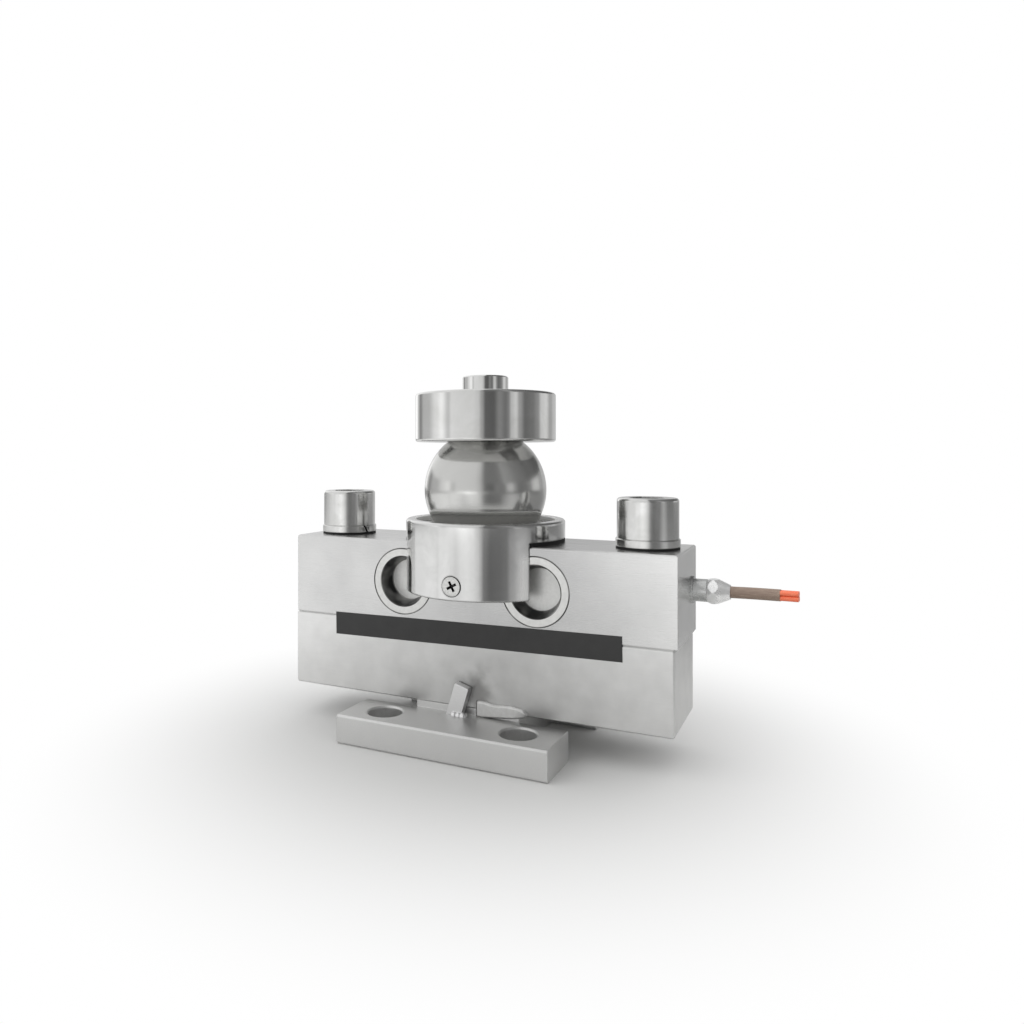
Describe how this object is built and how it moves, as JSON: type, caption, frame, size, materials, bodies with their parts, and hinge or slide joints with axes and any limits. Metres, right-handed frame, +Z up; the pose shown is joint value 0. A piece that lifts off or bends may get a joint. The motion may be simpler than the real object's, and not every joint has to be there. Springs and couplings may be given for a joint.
{
  "type": "double ended beam load cell",
  "caption": "Double ended shear beam load cell bolted at both ends to a base block on a drilled foot, loaded at its middle through a ball and an upper cup.",
  "frame": {"origin": "middle of the foot's underside, below the ball's axis", "axes": "+Z up along the ball's axis, +X along the beam towards the cable end, -Y is the labelled front"},
  "size_m": [0.2628, 0.111, 0.1914],
  "materials": {
    "beam_steel": "ground and nickel plated, satin",
    "base_steel": "milled and nickel plated, satin",
    "foot_steel": "milled, bead blasted",
    "polished_steel": "turned and polished",
    "bolt_steel": "polished",
    "cup_steel": "pressed stainless sheet",
    "gland_metal": "nickel plated brass",
    "black_rubber": "matt",
    "black_film": "satin film",
    "cable_sheath": "matt extruded sheath",
    "red_core": "gloss insulation",
    "gauge_foil": "polyimide film",
    "board_green": "lacquered board"
  },
  "bodies": {
    "root": {"foot": "foot_steel", "stop_lug": "foot_steel", "base_block": "base_steel", "beam": "beam_steel", "saddle": "polished_steel", "saddle_gasket": "black_rubber", "dust_ring": "black_rubber", "ball": "polished_steel", "upper_cup": "polished_steel", "terminal_board": "board_green", "gland_ring": "gland_metal", "gland_body": "gland_metal", "gland_seal": "black_rubber", "gland_nut": "gland_metal", "cable_jacket": "cable_sheath", "cable_cores": "red_core", "inner_cores": "red_core", "bridge_wires": "red_core", "label_strip": "black_film", "bolt_left": "bolt_steel", "lock_washer_left": "bolt_steel", "seal_ring_left": "black_rubber", "bolt_right": "bolt_steel", "lock_washer_right": "bolt_steel", "seal_ring_right": "black_rubber", "pad_weld_front": "foot_steel", "saddle_screw_front": "bolt_steel", "sealing_cup_front_left": "cup_steel", "gauge_front_left": "gauge_foil", "sealing_cup_front_right": "cup_steel", "gauge_front_right": "gauge_foil", "pad_weld_rear": "foot_steel", "saddle_screw_rear": "bolt_steel", "sealing_cup_rear_left": "cup_steel", "gauge_rear_left": "gauge_foil", "sealing_cup_rear_right": "cup_steel", "gauge_rear_right": "gauge_foil"}
  },
  "joints": []
}
